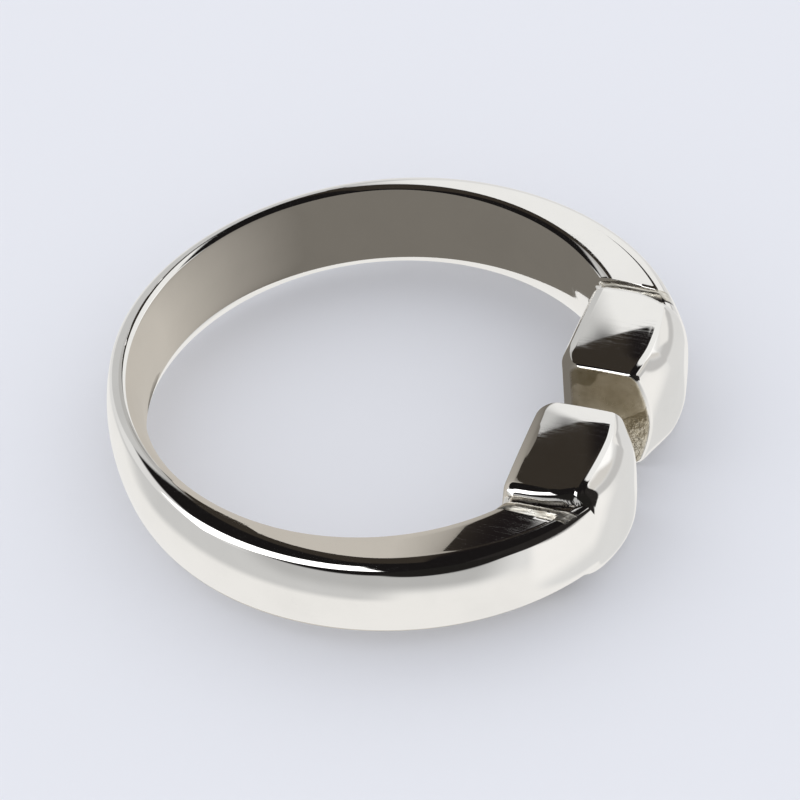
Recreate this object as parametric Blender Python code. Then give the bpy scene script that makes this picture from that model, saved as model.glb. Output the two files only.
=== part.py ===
"""Open finger ring in polished silver.

A tapered C-shaped shank carries two squared terminals, one on each end, with
a slot between them.  Each terminal is a separate casting, silver-soldered to
the end of the shank, so the ring is five pieces: shank, two terminals and the
two solder seams.

Units are metres.  +Z is the finger axis, -Y is the way the slot faces, and the
origin is on the surface that the ring lies on, at the middle of its footprint.
Angles (theta) are taken about the finger axis, from the slot towards +X.
Lengths in the constants are in millimetres.
"""

import math

import bpy
import bmesh

MM = 0.001

# ---------------------------------------------------------------- dimensions
# finger hole
BORE_RADIUS = 9.10          # mean inside radius
BORE_OVAL = 0.020           # the hole is this much narrower towards the slot

# outline of the shank, as the radius of its outermost line at angle theta
OUTER_MEAN = 11.205
OUTER_HEAD = 0.885          # thickens towards the slot
OUTER_OVAL = -0.016
OUTER_TRI = -0.105
OUTER_SQUARE = 0.009
OUTER_HIPS = -0.024         # the fuller hips beside the head

# half of the shank's height along the finger axis
HALF_HEIGHT = 1.875
HALF_HEIGHT_HEAD = -0.115
HALF_HEIGHT_OVAL = -0.020

# cross-section of the shank
INNER_EDGE = 0.365          # how far the domed finger hole opens at its rims
LIP_RUN = 0.36              # the lip that rounds the rim over to the top
LIP_RISE = 0.21
TOP_SLOPE = 5.0             # the top then falls outwards, in degrees
SHOULDER_RATIO = 0.430      # shoulder radius over the shank's thickness
SHOULDER_TIGHTER = 0.33     # and how much smaller that is beside the head
OUTER_FACE_RADIUS = 6.22    # gentle bulge of the outside face
OUTER_FACE_ROUNDER = 3.70   # how much rounder it is beside the head

# terminals
SLOT_HALF = 1.00            # half of the slot's width
HEAD_HALF_HEIGHT = 2.40     # half of a terminal's height
FOOT_X = 5.97               # where a terminal meets the solder
STEP = ((5.44, 0.0), (5.55, 0.02), (5.66, 0.083), (5.77, 0.186),
        (5.84, 0.308), (5.90, 0.474), (5.93, 0.66), (FOOT_X, 1.0))
                            # how its top drops to the foot: a bevel, then a
                            # steep face (X, share of the drop)
STEP_STRAIGHT = 8.00        # the step is straight up to this distance out,
STEP_TURN = 1.80            # then turns forward over this run
STEP_ADVANCE = 0.50         # by this much
CHEEK_BLEND = {14: 0.25, 15: 0.7, 16: 1.0, 17: 1.0}
                            # how far the cheek's points skip the step
BLEND_X = 4.20              # from here its outside blends into the shank
FLAT_INSIDE = 6.87          # distance of the flat inside face from the axis
CORNER_RUN = 0.70           # rounding of the inside face into the slot face
CORNER_DEPTH = 0.60
INSIDE_ROLL = 0.45          # radius of the top edge along the inside face
TOP_EDGE = 10.05            # outer edge of the top face, at its furthest
TOP_EDGE_X = 2.50
TOP_EDGE_CURVE = 0.035
EDGE_RADIUS = 0.50          # its rounding
CHEEK_CURVE = 0.064         # how the cheek falls back towards the slot
CHEEK_X = 5.36
CHEEK_SET_BACK = 0.23       # the cheeks lie this far inside the shank's line
CHEEK_BULGE_SLOT = 1.6      # exponent of the cheek's bulge at the slot
CHEEK_BULGE_BODY = 5.2      # and further back, where it is squarer
CHEEK_BULGE_RUN = 1.60      # length over which it changes
ARRIS = 0.12                # small bevel round the slot face

# joints between the pieces
FIT = 0.02                  # clearance between neighbouring solids
SEAM_THICK = 0.55           # width of the solder seam
BEAD_HEIGHT = 1.83          # crest of its bead above the middle plane
GROOVE_HEIGHT = 1.60        # bottom of the groove on each side of the bead
END_EASE = 0.02             # eased edge of the shank's ends

# mesh density
SWEEP_STEPS = 46
BLEND_THETA = math.radians(70.0)
BLEND_STEPS = 8


# ------------------------------------------------------------ shape functions
def bore_radius(t):
    return BORE_RADIUS * (1.0 - BORE_OVAL * math.cos(2 * t))


def outer_radius(t):
    return (OUTER_MEAN + OUTER_HEAD * math.cos(t)
            + OUTER_OVAL * math.cos(2 * t) + OUTER_TRI * math.cos(3 * t)
            + OUTER_SQUARE * math.cos(4 * t) + OUTER_HIPS * math.cos(5 * t))


def half_height(t):
    return (HALF_HEIGHT + HALF_HEIGHT_HEAD * math.cos(t)
            + HALF_HEIGHT_OVAL * math.cos(2 * t))


def spaced(first, last, count):
    """count values from first to last, both included."""
    return [first + (last - first) * i / (count - 1) for i in range(count)]


def closed_loop(upper):
    """Mirror an upper half profile below the middle plane."""
    lower = [(r, -z) for r, z in reversed(upper[1:-1])]
    return upper + lower


def band_profile(t, ease=0.0):
    """Cross-section of the shank at angle t: a closed loop of (radius, z)
    that starts on the finger hole's wall and runs over the top to the outside
    face.  ease shrinks it evenly."""
    inner = bore_radius(t) + ease
    outer = outer_radius(t) - ease
    high = half_height(t) - ease
    thick = outer - inner
    near_head = (0.5 + 0.5 * math.cos(t)) ** 3
    shoulder = (SHOULDER_RATIO - SHOULDER_TIGHTER * near_head) * thick
    face = OUTER_FACE_RADIUS - OUTER_FACE_ROUNDER * near_head
    turn = math.acos((high - shoulder) / (face - shoulder))
    shed = math.radians(TOP_SLOPE)

    # the lip is an arc between the domed bore and the top
    lip = (LIP_RUN ** 2 + LIP_RISE ** 2) / (2 * LIP_RISE)
    tilt = math.acos(1 - LIP_RISE / lip)
    bore_arc = INNER_EDGE / (1 - math.cos(math.pi / 2 - tilt))
    crest = inner + INNER_EDGE + LIP_RUN
    foot = high - LIP_RISE
    low = foot - bore_arc * math.sin(math.pi / 2 - tilt)

    # the shoulder starts where the sloping top meets it
    brow = outer - face * (1 - math.sin(turn)) \
        - shoulder * math.sin(turn)
    brow_z = high - 0.8 * math.tan(shed) * (brow - crest)
    drop = high - brow_z - shoulder * (1 - math.cos(shed))

    upper = [(inner, 0.0)]
    for a in spaced(0.0, math.pi / 2 - tilt, 4):
        upper.append((inner + bore_arc * (1 - math.cos(a)),
                      low + bore_arc * math.sin(a)))
    for a in spaced(-tilt, 0.0, 4)[1:]:
        upper.append((crest + lip * math.sin(a),
                      high - lip * (1 - math.cos(a))))
    for a in spaced(shed, turn, 6):
        fade = (turn - a) / (turn - shed)
        upper.append((brow + shoulder * math.sin(a),
                      high - shoulder * (1 - math.cos(a)) - drop * fade))
    centre = outer - face
    for a in spaced(turn, math.pi / 2, 5)[1:]:
        upper.append((centre + face * math.sin(a), face * math.cos(a)))
    upper[-1] = (outer, 0.0)
    return closed_loop(upper)


def band_count():
    return len(band_profile(0.0))


def band_theta_at(x, k, ease):
    """Angle at which profile point k of the shank reaches the plane X = x."""
    t = math.asin(x / 10.5)
    for _ in range(12):
        t = math.asin(x / band_profile(t, ease)[k][0])
    return t


def band_point(t, k, ease=0.0):
    r, z = band_profile(t, ease)[k]
    return (r * math.sin(t), -r * math.cos(t), z)


def band_section(x, ease=0.0):
    """Upper half of the shank's outline in the plane X = x, as (distance
    towards the slot side, z).  Points 1-4 are the domed bore, 5-7 the lip,
    8-13 the top and its shoulder and 14-17 the outside face."""
    section = []
    for k in range(18):
        x_k, y_k, z_k = band_point(band_theta_at(x, k, ease), k, ease)
        section.append((-y_k, z_k))
    return section


def cheek_line(x):
    """How far a terminal reaches out at its middle height."""
    t = math.atan2(x, 10.3)
    for _ in range(8):
        t = math.asin(x / outer_radius(t))
    fall = CHEEK_CURVE * max(0.0, CHEEK_X - x) ** 2
    return outer_radius(t) * math.cos(t) - fall - CHEEK_SET_BACK


def head_section(x, ease):
    """Upper half of a terminal's outline in the plane X = x, with the same
    run of points as the shank's section."""
    high = HEAD_HALF_HEIGHT - ease
    c = min(max((SLOT_HALF + CORNER_RUN - x) / CORNER_RUN, 0.0), 1.0)
    inside = FLAT_INSIDE + CORNER_DEPTH * (1 - math.sqrt(1 - c * c)) + ease
    top = TOP_EDGE - TOP_EDGE_CURVE * (x - TOP_EDGE_X) ** 2 - ease
    cheek = cheek_line(x) - ease
    f = min((x - SLOT_HALF) / CHEEK_BULGE_RUN, 1.0)
    power = CHEEK_BULGE_SLOT + (CHEEK_BULGE_BODY - CHEEK_BULGE_SLOT) * f

    section = [(inside, 0.0)]
    for a in spaced(0.0, math.pi / 2, 4):
        section.append((inside + INSIDE_ROLL * (1 - math.cos(a)),
                        high - INSIDE_ROLL * (1 - math.sin(a))))
    # the top's outer edge turns just far enough to meet the cheek
    turn = 0.6
    for _ in range(6):
        last = top - EDGE_RADIUS * math.tan(turn / 2)
        edge_d = last + EDGE_RADIUS * math.sin(turn)
        edge_z = high - EDGE_RADIUS * (1 - math.cos(turn))
        turn = math.atan2(edge_z, power * max(cheek - edge_d, 0.05))
    first = inside + INSIDE_ROLL
    for f in (0.07, 0.14, 0.22, 1.0):
        section.append((first + (last - first) * f, high))
    for a in spaced(0.0, turn, 6)[1:]:
        section.append((last + EDGE_RADIUS * math.sin(a),
                        high - EDGE_RADIUS * (1 - math.cos(a))))
    for f in (0.72, 0.42, 0.18, 0.0):
        z = edge_z * f
        section.append((cheek - (cheek - edge_d) * (z / edge_z) ** power, z))
    return section


def step_share(x):
    """How much of the drop to the foot the terminal's top has made at x."""
    if x <= STEP[0][0]:
        return 0.0
    for (x0, s0), (x1, s1) in zip(STEP, STEP[1:]):
        if x <= x1:
            return s0 + (s1 - s0) * (x - x0) / (x1 - x0)
    return 1.0


def terminal_profile(x, ease=0.0):
    """Cross-section of a terminal in the plane X = x: a closed loop of
    (distance towards the slot side, z), starting on the flat inside face.
    Near the foot it turns into the shank's own section."""
    head = head_section(x, ease)
    if x <= BLEND_X:
        return closed_loop(head)
    foot = band_section(x)
    u = (x - BLEND_X) / (FOOT_X - BLEND_X)
    blend = u * u * (3 - 2 * u)
    section = []
    for k, ((d0, z0), (d1, z1)) in enumerate(zip(head, foot)):
        # the step turns away towards the slot where it nears the cheek
        late = min(max(d0 - STEP_STRAIGHT, 0.0) / STEP_TURN, 1.0)
        share = step_share(x + STEP_ADVANCE * late * late)
        w = share + (blend - share) * CHEEK_BLEND.get(k, 0.0)
        if 4 <= k < 9:
            z1 = min(z1, GROOVE_HEIGHT)
        section.append((d0 + (d1 - d0) * w, z0 + (z1 - z0) * w))
    return closed_loop(section)


# ------------------------------------------------------------- mesh building
def loft(name, rings, middle, collection, material):
    """Skin closed rings of points in order and cap both ends."""
    bm = bmesh.new()
    verts = [[bm.verts.new((x * MM, y * MM, z * MM)) for x, y, z in ring]
             for ring in rings]
    count = len(rings[0])
    for a, b in zip(verts, verts[1:]):
        for i in range(count):
            j = (i + 1) % count
            bm.faces.new((a[i], a[j], b[j], b[i]))
    bm.faces.new(list(reversed(verts[0])))
    bm.faces.new(verts[-1])
    bmesh.ops.remove_doubles(bm, verts=bm.verts, dist=1e-7)
    bmesh.ops.dissolve_limit(bm, angle_limit=math.radians(0.05),
                             verts=bm.verts, edges=bm.edges)
    bmesh.ops.recalc_face_normals(bm, faces=bm.faces)

    mesh = bpy.data.meshes.new(name)
    bm.to_mesh(mesh)
    bm.free()
    mesh.shade_smooth()
    mesh.set_sharp_from_angle(angle=math.radians(35.0))
    mesh.materials.append(material)
    obj = bpy.data.objects.new(name, mesh)
    collection.objects.link(obj)
    obj.parent = middle
    return obj


def silver(name, colour, roughness):
    mat = bpy.data.materials.new(name)
    mat.use_nodes = True
    bsdf = mat.node_tree.nodes["Principled BSDF"]
    bsdf.inputs["Base Color"].default_value = (*colour, 1.0)
    bsdf.inputs["Metallic"].default_value = 1.0
    bsdf.inputs["Roughness"].default_value = roughness
    return mat


def mirrored(rings):
    return [[(-x, y, z) for x, y, z in ring] for ring in rings]


# -------------------------------------------------------------------- pieces
def shank_rings():
    """From the +X end, round the back, to the -X end.  The two end faces lie
    in planes of constant X, and the sections turn radial further back."""
    end_x = FOOT_X + FIT + SEAM_THICK + FIT
    count = band_count()
    first = [[(end_x, -d, z) for d, z in
              closed_loop([(d, min(z, 0.5 * (z + GROOVE_HEIGHT)))
                           for d, z in band_section(end_x, END_EASE)])]]
    start = [band_theta_at(end_x + 0.08, k, 0.0) for k in range(count)]
    for s in range(BLEND_STEPS):
        f = s / BLEND_STEPS
        first.append([band_point(start[k] + (BLEND_THETA - start[k]) * f, k)
                      for k in range(count)])
    middle = []
    for t in spaced(BLEND_THETA, 2 * math.pi - BLEND_THETA, SWEEP_STEPS):
        middle.append([band_point(t, k) for k in range(count)])
    last = [ring for ring in reversed(mirrored(first))]
    return first + middle + last


def terminal_rings():
    """The +X terminal, from its slot face to its foot."""
    stations = [(SLOT_HALF, ARRIS), (SLOT_HALF + ARRIS * 0.3, ARRIS * 0.3),
                (SLOT_HALF + ARRIS, 0.0)]
    stations += [(x, 0.0) for x in (1.30, 1.50, 1.70, 2.20, 2.80, 3.50, BLEND_X,
                                    4.60, 4.90, 5.10, 5.28)]
    stations += [(x, 0.0) for x, share in STEP]
    return [[(x, -d, z) for d, z in terminal_profile(x, ease)]
            for x, ease in stations]


def seam_rings():
    """The +X solder seam: it fills the joint between a terminal's foot and
    the shank's end, and stands up as a small bead above and below."""
    near = FOOT_X + FIT
    far = near + SEAM_THICK
    rings = []
    for f, lift in ((0.0, 0.0), (0.15, 0.45), (0.45, 1.0), (0.7, 0.75),
                    (1.0, 0.0)):
        x = near + SEAM_THICK * f
        section = []
        for k, (d, z) in enumerate(band_section(x, END_EASE * 0.5)):
            if 4 <= k < 10:
                low = min(z, GROOVE_HEIGHT)
                z = low + (BEAD_HEIGHT - low) * lift * min(1, 0.2 * k - 0.35)
            section.append((d, z))
        rings.append([(x, -d, z) for d, z in closed_loop(section)])
    return rings


def main():
    for obj in list(bpy.data.objects):
        bpy.data.objects.remove(obj, do_unlink=True)

    parts = bpy.data.collections.new("open_ring")
    bpy.context.scene.collection.children.link(parts)

    # the finger axis sits a little behind the middle of the footprint,
    # because the head reaches further out than the back of the shank
    head_reach = max(cheek_line(1.0 + 0.05 * i) for i in range(100))
    back_reach = outer_radius(math.pi)
    middle = bpy.data.objects.new("finger_axis", None)
    middle.location = (0.0, (head_reach - back_reach) / 2 * MM,
                       HEAD_HALF_HEIGHT * MM)
    parts.objects.link(middle)

    polished = silver("shank_silver", (0.93, 0.92, 0.90), 0.06)
    right = silver("right_terminal_silver", (0.93, 0.92, 0.90), 0.07)
    left = silver("left_terminal_silver", (0.93, 0.92, 0.90), 0.07)
    right_solder = silver("right_solder", (0.86, 0.85, 0.82), 0.16)
    left_solder = silver("left_solder", (0.86, 0.85, 0.82), 0.16)

    loft("shank", shank_rings(), middle, parts, polished)
    loft("right_terminal", terminal_rings(), middle, parts, right)
    loft("left_terminal", mirrored(terminal_rings()), middle, parts, left)
    loft("right_solder_seam", seam_rings(), middle, parts, right_solder)
    loft("left_solder_seam", mirrored(seam_rings()), middle, parts,
         left_solder)
    bpy.context.view_layer.update()


main()
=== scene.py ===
"""Looks for the open finger ring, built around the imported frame."""
import math

import bpy
import numpy as np
from mathutils import Matrix, Vector


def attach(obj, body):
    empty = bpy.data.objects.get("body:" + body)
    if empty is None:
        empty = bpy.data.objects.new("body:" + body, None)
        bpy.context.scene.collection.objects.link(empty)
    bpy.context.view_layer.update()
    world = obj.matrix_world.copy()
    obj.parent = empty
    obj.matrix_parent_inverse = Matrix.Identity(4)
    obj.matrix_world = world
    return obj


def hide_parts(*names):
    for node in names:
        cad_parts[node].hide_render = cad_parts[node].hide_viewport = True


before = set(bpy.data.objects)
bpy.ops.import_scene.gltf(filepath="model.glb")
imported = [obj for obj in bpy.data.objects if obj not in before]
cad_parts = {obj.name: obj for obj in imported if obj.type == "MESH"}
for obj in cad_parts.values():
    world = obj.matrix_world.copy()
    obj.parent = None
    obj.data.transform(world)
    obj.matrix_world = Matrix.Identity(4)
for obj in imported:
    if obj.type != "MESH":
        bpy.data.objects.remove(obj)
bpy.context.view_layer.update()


MM = 0.001
OFF_Y = 0.28236             # finger axis, from the middle of the footprint
OFF_Z = 2.40

# ------------------------------------------------------------------ the shape
# The same lengths as part.py, in millimetres.
BORE_RADIUS, BORE_OVAL = 9.10, 0.020
OUTER = (11.205, 0.885, -0.016, -0.105, 0.009, -0.024)
HALF = (1.875, -0.115, -0.020)
INNER_EDGE = 0.365
LIP_RUN, LIP_RISE = 0.36, 0.21
TOP_SLOPE = 5.0
SHOULDER_RATIO, SHOULDER_TIGHTER = 0.430, 0.33
OUTER_FACE_RADIUS, OUTER_FACE_ROUNDER = 6.22, 3.70
SLOT_HALF = 1.00
HEAD_HALF_HEIGHT = 2.40
FOOT_X = 5.97
BLEND_X = 4.20
FLAT_INSIDE = 6.87
CORNER_RUN, CORNER_DEPTH = 0.70, 0.60
INSIDE_ROLL = 0.45
TOP_EDGE, TOP_EDGE_X, TOP_EDGE_CURVE = 10.05, 2.50, 0.035
EDGE_RADIUS = 0.50
CHEEK_CURVE, CHEEK_X, CHEEK_SET_BACK = 0.064, 5.36, 0.23
CHEEK_BULGE_SLOT, CHEEK_BULGE_BODY, CHEEK_BULGE_RUN = 1.6, 5.2, 1.60
ARRIS = 0.15
DOME_AT = (2.65, 8.90)      # the tops are polished very slightly round
DOME_X, DOME_D = 0.030, 0.034
DOME_SLOT, DOME_SLOT_X = 0.13, 1.95
LIP_SHARE = 0.40
BEAD_HEIGHT = 1.83
GROOVE_HEIGHT = 1.60
SEAM_THICK = 0.59
STEP = np.array([[5.44, 0.0], [5.55, 0.02], [5.66, 0.083], [5.77, 0.186],
                 [5.84, 0.308], [5.90, 0.474], [5.93, 0.66], [FOOT_X, 1.0]])
STEP_STRAIGHT, STEP_TURN, STEP_ADVANCE = 8.00, 1.80, 0.50


def bore_radius(t):
    return BORE_RADIUS * (1.0 - BORE_OVAL * np.cos(2 * t))


def outer_radius(t):
    return sum(c * np.cos(i * t) for i, c in enumerate(OUTER))


def half_height(t):
    return sum(c * np.cos(i * t) for i, c in enumerate(HALF))


def make_profile(n_wall, n_edge, n_crown, n_shoulder, n_face):
    """Points of the upper half section as (segment, share along it)."""
    seg, f = [], []
    for s, n in enumerate((n_wall, n_edge, n_crown, n_shoulder, n_face)):
        for i in range(n):
            seg.append(s)
            f.append((i + (0 if s == 0 else 1)) / n if s else i / n)
    return np.array(seg), np.array(f)


def band_rz(t, seg, f, ease=0.0):
    """Radius and height of section points at angle t, one t per point."""
    t = np.asarray(t, float) + 0 * f
    inner = bore_radius(t) + ease
    outer = outer_radius(t) - ease
    high = half_height(t) - ease
    thick = outer - inner
    near_head = (0.5 + 0.5 * np.cos(t)) ** 3
    shoulder = (SHOULDER_RATIO - SHOULDER_TIGHTER * near_head) * thick
    face = OUTER_FACE_RADIUS - OUTER_FACE_ROUNDER * near_head
    turn = np.arccos((high - shoulder) / (face - shoulder))
    shed = math.radians(TOP_SLOPE)
    lip = (LIP_RUN ** 2 + LIP_RISE ** 2) / (2 * LIP_RISE)
    tilt = math.acos(1 - LIP_RISE / lip)
    bore_arc = INNER_EDGE / (1 - math.cos(math.pi / 2 - tilt))
    crest = inner + INNER_EDGE + LIP_RUN
    low = high - LIP_RISE - bore_arc * math.sin(math.pi / 2 - tilt)
    brow = outer - face * (1 - np.sin(turn)) \
        - shoulder * np.sin(turn)
    brow_z = high - 0.8 * math.tan(shed) * (brow - crest)
    drop = high - brow_z - shoulder * (1 - math.cos(shed))
    centre = outer - face
    a1 = f * (math.pi / 2 - tilt)
    on_lip = f < LIP_SHARE
    ease_out = 0.6 * shed
    a2 = -tilt + (tilt + ease_out) * np.minimum(f / LIP_SHARE, 1.0)
    lip_d = crest + lip * math.sin(ease_out)
    lip_z = high - lip * (1 - math.cos(ease_out))
    g = np.clip((f - LIP_SHARE) / (1 - LIP_SHARE), 0, 1)
    brow_d = brow + shoulder * math.sin(shed)
    a3 = shed + (turn - shed) * f
    a4 = turn + (math.pi / 2 - turn) * f
    r = np.select([seg == 0, seg == 1, seg == 2, seg == 3, seg == 4],
                  [inner + 0 * f, inner + bore_arc * (1 - np.cos(a1)),
                   np.where(on_lip, crest + lip * np.sin(a2),
                            lip_d + (brow_d - lip_d) * g),
                   brow + shoulder * np.sin(a3),
                   centre + face * np.sin(a4)])
    z = np.select([seg == 0, seg == 1, seg == 2, seg == 3, seg == 4],
                  [low * f, low + bore_arc * np.sin(a1),
                   np.where(on_lip, high - lip * (1 - np.cos(a2)),
                            lip_z + (brow_z - lip_z)
                            * (0.75 * g + 0.25 * g * g)),
                   high - shoulder * (1 - np.cos(a3)) - drop * (1 - f),
                   face * np.cos(a4)])
    return r, z


def band_section(x, seg, f, ease=0.0):
    """The shank's upper outline in the plane X = x, as (distance, z)."""
    t = np.full(len(f), math.asin(x / 10.5))
    for _ in range(16):
        r, z = band_rz(t, seg, f, ease)
        t = np.arcsin(x / r)
    return r * np.cos(t), z


def cheek_line(x):
    t = math.atan2(x, 10.3)
    for _ in range(12):
        t = math.asin(x / float(outer_radius(t)))
    fall = CHEEK_CURVE * max(0.0, CHEEK_X - x) ** 2
    return float(outer_radius(t)) * math.cos(t) - fall - CHEEK_SET_BACK


def dome(x, d):
    """How far the polished top falls away from its highest point."""
    return 0.5 * DOME_X * (x - DOME_AT[0]) ** 2 \
        + 0.5 * DOME_D * (d - DOME_AT[1]) ** 2 \
        + 0.5 * DOME_SLOT * max(DOME_SLOT_X - x, 0.0) ** 2


def head_section(x, seg, f, ease):
    """A terminal's upper outline in the plane X = x, point for point with
    the shank's section."""
    high = HEAD_HALF_HEIGHT - ease
    c = min(max((SLOT_HALF + CORNER_RUN - x) / CORNER_RUN, 0.0), 1.0)
    inside = FLAT_INSIDE + CORNER_DEPTH * (1 - math.sqrt(1 - c * c)) + ease
    top = TOP_EDGE - TOP_EDGE_CURVE * (x - TOP_EDGE_X) ** 2 - ease
    cheek = cheek_line(x) - ease
    g = min(max((x - SLOT_HALF) / CHEEK_BULGE_RUN, 0.0), 1.0)
    power = CHEEK_BULGE_SLOT + (CHEEK_BULGE_BODY - CHEEK_BULGE_SLOT) * g
    first = inside + INSIDE_ROLL
    radius = EDGE_RADIUS
    # the top's outer edge turns just far enough to meet the cheek
    turn, edge_z, edge_d = 0.6, high, top
    for _ in range(6):
        last = top - radius * math.tan(turn / 2)
        edge_d = last + radius * math.sin(turn)
        edge_z = high - dome(x, last) - radius * (1 - math.cos(turn))
        turn = math.atan2(edge_z, power * max(cheek - edge_d, 0.05))
    a1 = f * math.pi / 2
    along = np.where(f < LIP_SHARE, 0.22 * f / LIP_SHARE,
                     0.22 + 0.78 * (f - LIP_SHARE) / (1 - LIP_SHARE))
    top_d = first + (last - first) * along
    zc = edge_z * (1 - f)
    r = np.select([seg == 0, seg == 1, seg == 2, seg == 3, seg == 4],
                  [inside + 0 * f, inside + INSIDE_ROLL * (1 - np.cos(a1)),
                   top_d, last + radius * np.sin(turn * f),
                   cheek - (cheek - edge_d) * np.abs(zc / edge_z) ** power])
    z = np.select([seg == 0, seg == 1, seg == 2, seg == 3, seg == 4],
                  [(high - dome(x, first) - INSIDE_ROLL) * f,
                   high - dome(x, first) - INSIDE_ROLL * (1 - np.sin(a1)),
                   high - dome(x, top_d),
                   high - dome(x, last) - radius * (1 - np.cos(turn * f)),
                   zc])
    return r, z


def step_slopes():
    """Slopes at the step's stations that keep the curve from overshooting."""
    h = np.diff(STEP[:, 0])
    m = np.diff(STEP[:, 1]) / h
    out = np.zeros(len(STEP))
    for i in range(1, len(STEP) - 1):
        w1, w2 = 2 * h[i] + h[i - 1], h[i] + 2 * h[i - 1]
        out[i] = (w1 + w2) / (w1 / m[i - 1] + w2 / m[i])
    out[-1] = m[-1]
    return out


STEP_SLOPE = step_slopes()


def step_share(x):
    """How much of the drop to the foot the top has made at each x."""
    x = np.clip(x, STEP[0, 0], STEP[-1, 0])
    i = np.clip(np.searchsorted(STEP[:, 0], x, side="right") - 1, 0,
                len(STEP) - 2)
    h = STEP[i + 1, 0] - STEP[i, 0]
    t = (x - STEP[i, 0]) / h
    return ((2 * t ** 3 - 3 * t ** 2 + 1) * STEP[i, 1]
            + (t ** 3 - 2 * t ** 2 + t) * h * STEP_SLOPE[i]
            + (3 * t ** 2 - 2 * t ** 3) * STEP[i + 1, 1]
            + (t ** 3 - t ** 2) * h * STEP_SLOPE[i + 1])


def terminal_section(x, seg, f, ease=0.0):
    d0, z0 = head_section(x, seg, f, ease)
    if x <= BLEND_X:
        return d0, z0
    d1, z1 = band_section(x, seg, f)
    u = (x - BLEND_X) / (FOOT_X - BLEND_X)
    blend = u * u * (3 - 2 * u)
    late = np.clip((d0 - STEP_STRAIGHT) / STEP_TURN, 0, 1)
    late = np.where(seg <= 1, 0.0, late)
    share = step_share(x + STEP_ADVANCE * late * late)
    skip = np.clip(f / 0.7, 0, 1)
    skip = np.where(seg == 4, skip * skip * (3 - 2 * skip), 0.0)
    w = share + (blend - share) * skip
    low = ((seg == 2) | ((seg == 1) & (f > 0.8)))
    z1 = np.where(low, np.minimum(z1, GROOVE_HEIGHT), z1)
    return d0 + (d1 - d0) * w, z0 + (z1 - z0) * w


def loop(x, d, z):
    """Close an upper half (first and last points on z = 0) into a ring of
    3-D points in the plane X = x."""
    up = np.stack([np.full(len(d), x), -d, z], 1)
    low = up[1:-1][::-1].copy()
    low[:, 2] *= -1
    return np.concatenate([up, low])


def skin(name, rings, material):
    """Mesh through rings of equal length, capped at both ends."""
    n = len(rings[0])
    pts = np.concatenate(rings) * MM
    pts[:, 1] += OFF_Y * MM
    pts[:, 2] += OFF_Z * MM
    faces = []
    for s in range(len(rings) - 1):
        a, b = s * n, (s + 1) * n
        for i in range(n):
            j = (i + 1) % n
            faces.append((a + i, a + j, b + j, b + i))
    faces.append(tuple(reversed(range(n))))
    faces.append(tuple(range((len(rings) - 1) * n, len(rings) * n)))
    mesh = bpy.data.meshes.new(name)
    mesh.from_pydata(pts.tolist(), [], faces)
    mesh.validate()
    import bmesh
    bm = bmesh.new()
    bm.from_mesh(mesh)
    bmesh.ops.recalc_face_normals(bm, faces=bm.faces)
    bm.to_mesh(mesh)
    bm.free()
    mesh.shade_smooth()
    mesh.set_sharp_from_angle(angle=math.radians(50.0))
    mesh.materials.append(material)
    obj = bpy.data.objects.new(name, mesh)
    bpy.context.scene.collection.objects.link(obj)
    return obj


def mirror(rings):
    out = []
    for r in rings:
        q = r.copy()
        q[:, 0] *= -1
        out.append(q)
    return out


# ------------------------------------------------------------------ materials
class Nodes:
    def __init__(self, name):
        self.mat = bpy.data.materials.new(name)
        self.mat.use_nodes = True
        self.tree = self.mat.node_tree
        self.bsdf = self.tree.nodes["Principled BSDF"]
        self.coords = self.new("ShaderNodeTexCoord").outputs["Object"]

    def new(self, kind, **values):
        node = self.tree.nodes.new(kind)
        for k, v in values.items():
            setattr(node, k, v)
        return node

    def link(self, a, b):
        self.tree.links.new(a, b)

    def mapping(self, scale, rotation=(0, 0, 0)):
        m = self.new("ShaderNodeMapping")
        m.inputs["Scale"].default_value = scale
        m.inputs["Rotation"].default_value = rotation
        self.link(self.coords, m.inputs["Vector"])
        return m.outputs["Vector"]

    def noise(self, scale, detail=4.0, rough=0.5, vector=None, distortion=0.0):
        n = self.new("ShaderNodeTexNoise")
        n.inputs["Scale"].default_value = scale
        n.inputs["Detail"].default_value = detail
        n.inputs["Roughness"].default_value = rough
        n.inputs["Distortion"].default_value = distortion
        self.link(vector if vector is not None else self.coords,
                  n.inputs["Vector"])
        return n.outputs["Fac"]

    def ramp(self, value, stops):
        r = self.new("ShaderNodeValToRGB")
        e = r.color_ramp.elements
        while len(e) < len(stops):
            e.new(0.5)
        for el, (p, c) in zip(e, stops):
            el.position = p
            el.color = c if len(c) == 4 else (*c, 1.0)
        self.link(value, r.inputs["Fac"])
        return r.outputs["Color"]

    def range(self, value, a, b, c, d):
        m = self.new("ShaderNodeMapRange")
        for k, v in zip(("From Min", "From Max", "To Min", "To Max"),
                        (a, b, c, d)):
            m.inputs[k].default_value = v
        self.link(value, m.inputs["Value"])
        return m.outputs["Result"]

    def math(self, op, a, b=None):
        m = self.new("ShaderNodeMath", operation=op)
        for i, v in enumerate((a, b)):
            if v is None:
                continue
            if isinstance(v, (int, float)):
                m.inputs[i].default_value = v
            else:
                self.link(v, m.inputs[i])
        return m.outputs["Value"]

    def mix(self, fac, a, b):
        m = self.new("ShaderNodeMix", data_type="RGBA")
        if isinstance(fac, (int, float)):
            m.inputs[0].default_value = fac
        else:
            self.link(fac, m.inputs[0])
        for i, v in ((6, a), (7, b)):
            if isinstance(v, tuple):
                m.inputs[i].default_value = (*v, 1.0)
            else:
                self.link(v, m.inputs[i])
        return m.outputs[2]

    def bump(self, height, strength, distance, under=None):
        b = self.new("ShaderNodeBump")
        b.inputs["Strength"].default_value = strength
        b.inputs["Distance"].default_value = distance
        self.link(height, b.inputs["Height"])
        if under is not None:
            self.link(under, b.inputs["Normal"])
        return b.outputs["Normal"]


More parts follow.
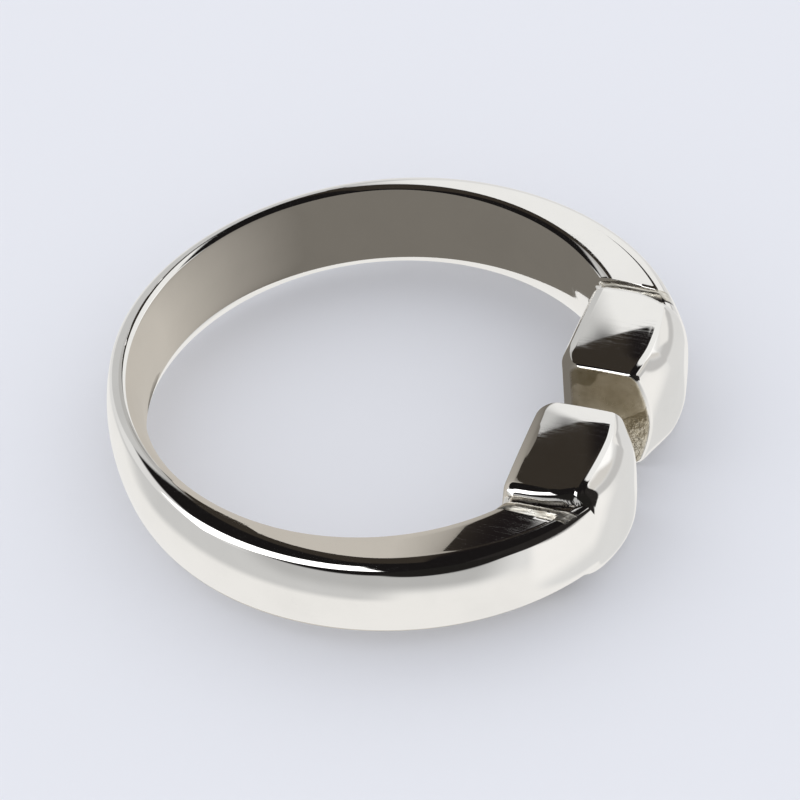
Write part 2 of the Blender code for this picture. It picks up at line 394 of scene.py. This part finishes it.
def scratches(n, scale, rotation, low, high):
    """Sparse thin lines: the ridge of a stretched noise."""
    v = n.mapping((scale, scale * 0.035, scale * 0.2), rotation)
    raw = n.noise(1.0, detail=2.0, rough=0.6, vector=v)
    away = n.math("ABSOLUTE", n.math("SUBTRACT", raw, 0.5))
    return n.range(away, low, high, 1.0, 0.0)


def polished_silver(name, tone=(0.955, 0.943, 0.922), rough=0.026,
                    seed=0.0):
    """Polished sterling silver: faint tarnish clouds, haze and hairlines."""
    n = Nodes(name)
    b = n.bsdf
    b.inputs["Metallic"].default_value = 1.0
    clouds = n.noise(420.0 + seed, detail=5.0, rough=0.55)
    base = n.ramp(clouds, [(0.30, tuple(c * 0.965 for c in tone)),
                           (0.55, tone),
                           (0.75, tuple(min(c * 1.01, 1.0) for c in tone))])
    n.link(base, b.inputs["Base Color"])
    haze = n.noise(1500.0 + seed * 3, detail=3.0)
    line_a = scratches(n, 5200.0, (0.3, 0.2, 0.7 + seed * 0.01), 0.0, 0.010)
    line_b = scratches(n, 4300.0, (1.1, 0.4, 2.0 + seed * 0.02), 0.0, 0.008)
    lines = n.math("MAXIMUM", line_a, line_b)
    r = n.math("ADD", n.range(haze, 0.3, 0.7, rough * 0.75, rough * 1.25),
               n.math("MULTIPLY", lines, 0.06))
    n.link(r, b.inputs["Roughness"])
    wave = n.noise(260.0 + seed, detail=1.0)
    first = n.bump(wave, 0.12, 0.00002)
    second = n.bump(lines, 0.035, 0.000002, first)
    n.link(second, b.inputs["Normal"])
    return n


PALE_LINE = 2.24


def terminal_silver(name, seed):
    """Polished silver, with the slot face left as it was cast."""
    n = polished_silver(name, seed=seed)
    b = n.bsdf
    sep = n.new("ShaderNodeSeparateXYZ")
    n.link(n.coords, sep.inputs[0])
    away = n.math("ABSOLUTE", sep.outputs[0])
    face = n.range(away, 0.001015, 0.00104, 1.0, 0.0)
    # the cast skin: brownish and matt above, paler and brighter below
    # a wavy line, with a glittering rough patch towards the lower outside
    grain = n.noise(9000.0, detail=6.0, rough=0.7)
    patch = n.noise(700.0, detail=3.0, rough=0.6)
    wave = n.noise(900.0, detail=2.0, rough=0.5)
    lower = n.math("ADD", n.math("ADD", n.math("MULTIPLY", sep.outputs[2],
                                               -420.0),
                                 n.math("MULTIPLY", sep.outputs[1], -330.0)),
                   n.math("MULTIPLY", wave, 0.75))
    paler_below = n.range(lower, -0.92 + PALE_LINE, -0.86 + PALE_LINE, 0.0, 1.0)
    brown = n.ramp(patch, [(0.35, (0.34, 0.295, 0.205)),
                           (0.50, (0.44, 0.39, 0.29)),
                           (0.65, (0.54, 0.49, 0.39))])
    pale = n.ramp(patch, [(0.35, (0.56, 0.50, 0.38)),
                          (0.50, (0.70, 0.64, 0.52)),
                          (0.65, (0.82, 0.77, 0.66))])
    cast = n.mix(paler_below, brown, pale)
    glint = n.range(lower, 0.10 + PALE_LINE, 0.35 + PALE_LINE, 0.0, 1.0)
    old = b.inputs["Base Color"].links[0].from_socket
    n.link(n.mix(face, old, cast), b.inputs["Base Color"])
    old_r = b.inputs["Roughness"].links[0].from_socket
    cast_r = n.range(grain, 0.3, 0.7, 0.24, 0.46)
    mixed = n.math("ADD", n.math("MULTIPLY", face, cast_r),
                   n.math("MULTIPLY", n.math("SUBTRACT", 1.0, face), old_r))
    n.link(mixed, b.inputs["Roughness"])
    old_n = b.inputs["Normal"].links[0].from_socket
    fine = n.bump(n.math("MULTIPLY", face, grain), 0.5, 0.00002, old_n)
    coarse = n.noise(4200.0, detail=3.0, rough=0.6)
    patchy = n.math("MULTIPLY", n.math("MULTIPLY", face, glint), coarse)
    n.link(n.bump(patchy, 1.0, 0.00012, fine), b.inputs["Normal"])
    return n.mat


def solder_silver(name, seed):
    """Silver solder: softer polish, with painted shade darkening it where it meets the
    terminal.
    """
    n = polished_silver(name, seed=seed)
    b = n.bsdf
    sep = n.new("ShaderNodeSeparateXYZ")
    n.link(n.coords, sep.inputs[0])
    up = n.math("ABSOLUTE", n.math("SUBTRACT", sep.outputs[2], OFF_Z * MM))
    bead = n.range(up, 0.00150, 0.00162, 0.0, 1.0)
    grit = n.noise(5200.0, detail=5.0, rough=0.65)
    flow = n.noise(1.0, detail=3.0, rough=0.6,
                   vector=n.mapping((9000.0, 1300.0, 2500.0)))
    dull = n.ramp(flow, [(0.36, (0.52, 0.48, 0.41)),
                         (0.50, (0.80, 0.77, 0.69)),
                         (0.64, (0.93, 0.91, 0.86))])
    along = n.math("ABSOLUTE", sep.outputs[0])
    # painted shade: the solder is coloured nearly black just past the terminal's foot,
    # where the crevice is in shade
    groove_painted_shade = n.range(along, (FOOT_X + 0.06) * MM, (FOOT_X + 0.13) * MM,
                     1.0, 0.0)
    dull = n.mix(groove_painted_shade, dull, (0.085, 0.075, 0.075))
    old = b.inputs["Base Color"].links[0].from_socket
    n.link(n.mix(bead, old, dull), b.inputs["Base Color"])
    old_r = b.inputs["Roughness"].links[0].from_socket
    rough = n.range(grit, 0.3, 0.7, 0.22, 0.42)
    n.link(n.math("ADD", n.math("MULTIPLY", bead, rough),
                  n.math("MULTIPLY", n.math("SUBTRACT", 1.0, bead), old_r)),
           b.inputs["Roughness"])
    old_n = b.inputs["Normal"].links[0].from_socket
    n.link(n.bump(n.math("MULTIPLY", bead, flow), 0.5, 0.00003, old_n),
           b.inputs["Normal"])
    return n.mat


shank_mat = polished_silver("shank_polished_silver").mat
right_mat = terminal_silver("right_terminal_polished_silver", 3.0)
left_mat = terminal_silver("left_terminal_polished_silver", 7.0)
solder_mat_r = solder_silver("right_solder_silver", 11.0)
solder_mat_l = solder_silver("left_solder_silver", 13.0)

# --------------------------------------------------------------------- pieces
SEG, F = make_profile(6, 18, 30, 30, 30)


def stations_terminal():
    st = [(SLOT_HALF, ARRIS + 0.04)]
    for a in np.linspace(0, math.pi / 2, 9):
        st.append((SLOT_HALF + ARRIS * (1 - math.cos(a)),
                   ARRIS * (1 - math.sin(a))))
    xs = list(np.linspace(SLOT_HALF + ARRIS, 1.75, 12)[1:])
    xs += list(np.linspace(1.75, BLEND_X, 40)[1:])
    xs += list(np.linspace(BLEND_X, 5.50, 14)[1:])
    xs += list(np.linspace(5.50, 5.90, 16)[1:])
    xs += list(np.linspace(5.90, FOOT_X, 12)[1:])
    return st + [(x, 0.0) for x in xs]


terminal_rings = []
for x, ease in stations_terminal():
    d, z = terminal_section(x, SEG, F, ease)
    terminal_rings.append(loop(x, d, z))

SEAM_A = FOOT_X
SEAM_B = SEAM_A + SEAM_THICK
seam_rings = []
for g in np.linspace(0, 1, 29):
    x = SEAM_A + (SEAM_B - SEAM_A) * g
    lift = float(np.interp(g, (0, 0.08, 0.2, 0.32, 0.45, 0.6, 0.8, 1.0),
                           (0, 0.18, 0.62, 0.92, 1.0, 0.9, 0.45, 0)))
    d, z = band_section(x, SEG, F)
    top = (SEG == 2) | ((SEG == 1) & (F > 0.7))
    low = np.where(top, np.minimum(z, GROOVE_HEIGHT), z)
    rim = np.select([SEG == 1, SEG == 2, SEG == 3],
                    [np.clip((F - 0.7) / 0.3, 0, 1) * 0.45,
                     np.minimum(0.45 + 0.55 * F / LIP_SHARE, 1.0),
                     np.clip(1 - F / 0.3, 0, 1)], 0.0)
    z = np.where(rim > 0, low + np.maximum(BEAD_HEIGHT - low, 0) * lift * rim,
                 low)
    seam_rings.append(loop(x, d, z))

END_X = SEAM_B
first = []
d, z = band_section(END_X, SEG, F)
z = np.where(SEG == 2, np.minimum(z, 0.5 * (z + GROOVE_HEIGHT)), z)
first.append(loop(END_X, d, z))
COUNT = 2 * len(F) - 2
full_seg = np.concatenate([SEG, SEG[1:-1][::-1]])
full_f = np.concatenate([F, F[1:-1][::-1]])
sign = np.concatenate([np.ones(len(F)), -np.ones(len(F) - 2)])


def plane_theta(x):
    t = np.full(COUNT, math.asin(x / 10.5))
    for _ in range(16):
        r, _z = band_rz(t, full_seg, full_f)
        t = np.arcsin(x / r)
    return t


def ring_at(t):
    r, z = band_rz(t, full_seg, full_f)
    t = np.asarray(t) + 0 * r
    return np.stack([r * np.sin(t), -r * np.cos(t), z * sign], 1)


start = plane_theta(END_X + 0.05)
BLEND_T = math.radians(70.0)
for s in range(40):
    w = s / 40
    first.append(ring_at(start + (BLEND_T - start) * w))
middle = [ring_at(t) for t in
          np.linspace(BLEND_T, 2 * math.pi - BLEND_T, 260)]
shank_rings = first + middle + [r for r in reversed(mirror(first))]

shank = skin("shank_skin", shank_rings, shank_mat)
right = skin("right_terminal_skin", terminal_rings, right_mat)
left = skin("left_terminal_skin", mirror(terminal_rings), left_mat)
seam_r = skin("right_seam_skin", seam_rings, solder_mat_r)
seam_l = skin("left_seam_skin", mirror(seam_rings), solder_mat_l)

for obj, node, slot in ((shank, "shank", "shank_silver"),
                        (right, "right_terminal", "right_terminal_silver"),
                        (left, "left_terminal", "left_terminal_silver"),
                        (seam_r, "right_solder_seam", "right_solder"),
                        (seam_l, "left_solder_seam", "left_solder")):
    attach(obj, "root")
    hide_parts(node)

# ---------------------------------------------------------------------- stage
bpy.ops.mesh.primitive_plane_add(size=3.0, location=(0, 0, 0))
floor = bpy.context.object
floor.name = "floor"
fm = bpy.data.materials.new("floor_pale")
fm.use_nodes = True
fb = fm.node_tree.nodes["Principled BSDF"]
fb.inputs["Base Color"].default_value = (0.80, 0.81, 0.86, 1)
fb.inputs["Roughness"].default_value = 0.9
fb.inputs["Specular IOR Level"].default_value = 0.1
floor.data.materials.append(fm)

floor.visible_glossy = False

# A pale stone-coloured reflector stands in the finger hole, seen only in the polished
# metal.
# It glows with painted light: the lit stone colour on one side and painted shade on the
# other.
profile = ((9.20, -8.0), (8.05, 0.0), (6.90, 8.3), (5.90, 9.5), (2.00, 24.0), (0.10, 24.1))
around = 96
r_verts = [((-0.3 + r * math.cos(2 * math.pi * i / around)) * MM,
            (1.4 + r * math.sin(2 * math.pi * i / around)) * MM, z * MM)
           for r, z in profile for i in range(around)]
r_faces = [(k * around + i, k * around + (i + 1) % around,
            (k + 1) * around + (i + 1) % around, (k + 1) * around + i)
           for k in range(len(profile) - 1) for i in range(around)]
r_mesh = bpy.data.meshes.new("reflector")
r_mesh.from_pydata(r_verts, [], r_faces)
r_mesh.shade_smooth()
reflector = bpy.data.objects.new("reflector", r_mesh)
bpy.context.scene.collection.objects.link(reflector)
rm = bpy.data.materials.new("reflector_stone_painted_light")
rm.use_nodes = True
rt = rm.node_tree
rt.nodes.clear()
# painted light and shade: the glow is the pale lit stone colour on the side facing (-0.86,
# 0.50) and a darker shade ramp on the far side
r_geo = rt.nodes.new("ShaderNodeNewGeometry")
r_dot = rt.nodes.new("ShaderNodeVectorMath")
r_dot.operation = "DOT_PRODUCT"
r_dot.inputs[1].default_value = (-0.86, 0.50, 0.1)
rt.links.new(r_geo.outputs["Normal"], r_dot.inputs[0])
r_lit_side_ramp = rt.nodes.new("ShaderNodeValToRGB")
r_lit_side_ramp.color_ramp.elements[0].position = 0.25
r_lit_side_ramp.color_ramp.elements[0].color = (0, 0, 0, 1)
r_lit_side_ramp.color_ramp.elements[1].position = 0.70
r_lit_side_ramp.color_ramp.elements[1].color = (1, 1, 1, 1)
r_map = rt.nodes.new("ShaderNodeMapRange")
r_map.inputs["From Min"].default_value = -1.0
rt.links.new(r_dot.outputs["Value"], r_map.inputs["Value"])
rt.links.new(r_map.outputs["Result"], r_lit_side_ramp.inputs["Fac"])
# painted shade: on the shaded side it is darkest just above the floor of the hole
r_sep = rt.nodes.new("ShaderNodeSeparateXYZ")
rt.links.new(r_geo.outputs["Position"], r_sep.inputs[0])
r_height = rt.nodes.new("ShaderNodeMapRange")
r_height.inputs["From Min"].default_value = -2.4 * MM
r_height.inputs["From Max"].default_value = 2.8 * MM
rt.links.new(r_sep.outputs[2], r_height.inputs["Value"])
r_shade = rt.nodes.new("ShaderNodeValToRGB")
stops = r_shade.color_ramp.elements
stops[0].position, stops[0].color = 0.0, (0.36, 0.355, 0.345, 1)
stops[1].position, stops[1].color = 1.0, (0.27, 0.25, 0.21, 1)
for where, tone in ((0.22, (0.25, 0.24, 0.225, 1)),
                    (0.50, (0.18, 0.166, 0.145, 1)),
                    (0.70, (0.130, 0.116, 0.096, 1)),
                    (0.84, (0.175, 0.155, 0.125, 1))):
    stops.new(where).color = tone
r_mix = rt.nodes.new("ShaderNodeMix")
r_mix.data_type = "RGBA"
rt.links.new(r_lit_side_ramp.outputs["Color"], r_mix.inputs[0])
rt.links.new(r_shade.outputs["Color"], r_mix.inputs[6])
r_mix.inputs[7].default_value = (0.55, 0.515, 0.465, 1)
r_em = rt.nodes.new("ShaderNodeEmission")
rt.links.new(r_mix.outputs[2], r_em.inputs["Color"])
r_out = rt.nodes.new("ShaderNodeOutputMaterial")
rt.links.new(r_em.outputs[0], r_out.inputs["Surface"])
reflector.data.materials.append(rm)
reflector.visible_camera = False
reflector.visible_diffuse = False
reflector.visible_shadow = False
reflector.visible_transmission = False

# camera at the photograph's viewing angle
cam_data = bpy.data.cameras.new("camera")
cam = bpy.data.objects.new("camera", cam_data)
bpy.context.scene.collection.objects.link(cam)
right_v = Vector((0.322777, -0.944343, -0.063489))
up_v = Vector((0.656018, 0.174866, 0.734209))
back_v = Vector((-0.682243, -0.278636, 0.675948))
rot = Matrix((right_v, up_v, back_v)).transposed().to_4x4()
cam.matrix_world = Matrix.Translation(
    Vector((-0.1363816, -0.056221, 0.1373349))) @ rot
cam_data.sensor_width = 36.0
cam_data.lens = 236.17
cam_data.clip_start = 0.01
cam_data.clip_end = 10.0
bpy.context.scene.camera = cam

# ---------------------------------------------------------------- environment
AWAY = Vector((0.9259, 0.3778, 0.0))          # level, away from the camera
SIDE = Vector((0.3778, -0.9259, 0.0))         # level, to the camera's right


def direction(azimuth, elevation):
    """Azimuth from AWAY towards SIDE, both in degrees."""
    a, e = math.radians(azimuth), math.radians(elevation)
    return (AWAY * math.cos(a) + SIDE * math.sin(a)) * math.cos(e) \
        + Vector((0, 0, math.sin(e)))


world = bpy.data.worlds.new("studio")
bpy.context.scene.world = world
world.use_nodes = True
wt = world.node_tree
wt.nodes.clear()


def w_new(kind, **values):
    node = wt.nodes.new(kind)
    for k, v in values.items():
        setattr(node, k, v)
    return node


w_dir = w_new("ShaderNodeTexCoord").outputs["Generated"]


def w_math(op, a, b=None, clamp=False):
    m = w_new("ShaderNodeMath", operation=op, use_clamp=clamp)
    for i, v in enumerate((a, b)):
        if v is None:
            continue
        if isinstance(v, (int, float)):
            m.inputs[i].default_value = v
        else:
            wt.links.new(v, m.inputs[i])
    return m.outputs[0]


def w_dot(v):
    m = w_new("ShaderNodeVectorMath", operation="DOT_PRODUCT")
    wt.links.new(w_dir, m.inputs[0])
    m.inputs[1].default_value = v
    return m.outputs["Value"]


def w_step(value, a, b):
    """Smooth 0 to 1 as value goes from a to b."""
    m = w_new("ShaderNodeMapRange", interpolation_type="SMOOTHSTEP")
    wt.links.new(value, m.inputs["Value"])
    m.inputs["From Min"].default_value = a
    m.inputs["From Max"].default_value = b
    m.inputs["To Min"].default_value = 0.0
    m.inputs["To Max"].default_value = 1.0
    return m.outputs["Result"]


def w_mix(fac, a, b):
    m = w_new("ShaderNodeMix", data_type="RGBA")
    wt.links.new(fac, m.inputs[0])
    for i, v in ((6, a), (7, b)):
        if isinstance(v, tuple):
            m.inputs[i].default_value = (*v, 1.0)
        else:
            wt.links.new(v, m.inputs[i])
    return m.outputs[2]


def w_cap(centre, half_angle, soft):
    """1 inside a round patch of the sky, 0 outside."""
    outer = math.cos(math.radians(half_angle + soft))
    inner = math.cos(math.radians(half_angle - soft))
    return w_step(w_dot(centre), outer, inner)


def w_panel(centre, turn, half_long, half_short, soft):
    """1 inside a tilted rectangular patch of the sky, 0 outside."""
    c = centre.normalized()
    level = Vector((0, 0, 1)).cross(c).normalized()
    rise = c.cross(level)
    t = math.radians(turn)
    u = level * math.cos(t) + rise * math.sin(t)
    v = rise * math.cos(t) - level * math.sin(t)
    parts = [w_step(w_dot(c), 0.0, 0.1)]
    for axis, half in ((u, half_long), (v, half_short)):
        away = w_math("ABSOLUTE", w_dot(axis))
        parts.append(w_step(away, math.sin(math.radians(half + soft)),
                            math.sin(math.radians(half - soft))))
    return w_math("MULTIPLY", w_math("MULTIPLY", parts[0], parts[1]),
                  parts[2])


def w_level(low, high, soft):
    """1 between two elevations, all round."""
    def h(el):
        return math.sin(math.radians(el))
    return w_math("MULTIPLY", w_step(w_up, h(low - soft), h(low + soft)),
                  w_step(w_up, h(high + soft), h(high - soft)))


w_up = w_dot(Vector((0, 0, 1)))
colour = w_mix(w_step(w_up, -0.62, -0.30), (0.86, 0.85, 0.83),
               (0.74, 0.74, 0.735))
# the edge of the table, left of the camera
left_half = w_step(w_dot(direction(-112, 0)), 0.35, 0.60)
colour = w_mix(w_math("MULTIPLY", left_half, w_level(-38, -14, 3)), colour,
               (0.60, 0.60, 0.595))
near_edge = w_step(w_dot(direction(-165, 0)), 0.55, 0.80)
colour = w_mix(w_math("MULTIPLY", near_edge, w_level(-27, 30, 6)), colour,
               (0.47, 0.47, 0.465))
# darker room overhead and behind the camera
dark = w_cap(direction(-150, 75), 68, 4)
colour = w_mix(dark, colour, (0.009, 0.008, 0.008))
# light walls, left, right and behind
colour = w_mix(w_cap(direction(-28, 22), 30, 2), colour,
               (0.56, 0.56, 0.555))
colour = w_mix(w_cap(direction(38, 26), 33, 1.5), colour,
               (0.86, 0.86, 0.85))
right_wall = w_cap(direction(80, -10), 56, 2.5)
along_wall = w_dot(direction(150, 0))
wall_colour = w_mix(w_step(along_wall, 0.30, 0.72), (0.72, 0.72, 0.715),
                    (0.91, 0.90, 0.88))
colour = w_mix(right_wall, colour, wall_colour)
colour = w_mix(w_math("MULTIPLY", right_wall, w_level(8, 27, 4)), colour,
               (0.54, 0.535, 0.53))
window = w_math("MULTIPLY", w_level(19, 31, 2.5),
                w_step(along_wall, 0.0, -0.06))
colour = w_mix(w_math("MULTIPLY", right_wall, window), colour,
               (0.84, 0.83, 0.81))
colour = w_mix(w_math("MULTIPLY", right_wall, w_level(33, 80, 3)), colour,
               (1.05, 1.05, 1.04))
shelf = w_math("MULTIPLY", w_level(29, 43, 3), w_step(along_wall, 0.05, 0.14))
colour = w_mix(w_math("MULTIPLY", right_wall, shelf), colour,
               (0.66, 0.64, 0.61))
# the dark doorway between the right wall and the camera
colour = w_mix(w_cap(direction(131, 24), 28, 2), colour,
               (0.020, 0.018, 0.017))
colour = w_mix(w_cap(direction(168, 14), 24, 3), colour,
               (0.014, 0.013, 0.012))
# above the far wall the room is dark
edge_a, edge_b = direction(-5, 42.3), direction(7, 39.2)
above = edge_b.cross(edge_a)
above = above if above.z > 0 else -above
beyond = w_step(w_dot(above.normalized()), -0.004, 0.004)
side_a, side_b = direction(7.2, 38), direction(9.0, 52)
side = side_a.cross(side_b)
side = side if side.dot(direction(-30, 45)) > 0 else -side
beside = w_math("MULTIPLY", w_step(w_dot(direction(-100, 0)), 0.26, 0.18),
                w_step(w_dot(side.normalized()), -0.006, 0.006))
beyond = w_math("MULTIPLY", beyond, beside)
beyond = w_math("MULTIPLY", beyond, w_step(w_dot(direction(0, 30)), 0.3, 0.4))
warm = w_step(w_dot(direction(90, 0)), 0.075, 0.035)
beyond_colour = w_mix(warm, (0.011, 0.009, 0.009), (0.034, 0.028, 0.022))
colour = w_mix(beyond, colour, beyond_colour)
colour = w_mix(w_cap(direction(-27, 42), 10.5, 2), colour,
               (0.47, 0.465, 0.455))
# the large softbox, left of the camera
soft_box = w_panel(direction(-120, 22), 44, 41, 12, 1.5)
colour = w_mix(soft_box, colour, (2.4, 2.4, 2.38))

light_path = w_new("ShaderNodeLightPath")
bg_gloss = w_new("ShaderNodeBackground")
wt.links.new(colour, bg_gloss.inputs["Color"])
bg_plain = w_new("ShaderNodeBackground")
bg_plain.inputs["Color"].default_value = (0.97, 0.98, 1.0, 1)
bg_plain.inputs["Strength"].default_value = 1.03
mix = w_new("ShaderNodeMixShader")
wt.links.new(light_path.outputs["Is Glossy Ray"], mix.inputs[0])
wt.links.new(bg_plain.outputs[0], mix.inputs[1])
wt.links.new(bg_gloss.outputs[0], mix.inputs[2])
out = w_new("ShaderNodeOutputWorld")
wt.links.new(mix.outputs[0], out.inputs["Surface"])

bpy.context.scene.view_settings.view_transform = "Standard"
bpy.context.scene.view_settings.look = "None"
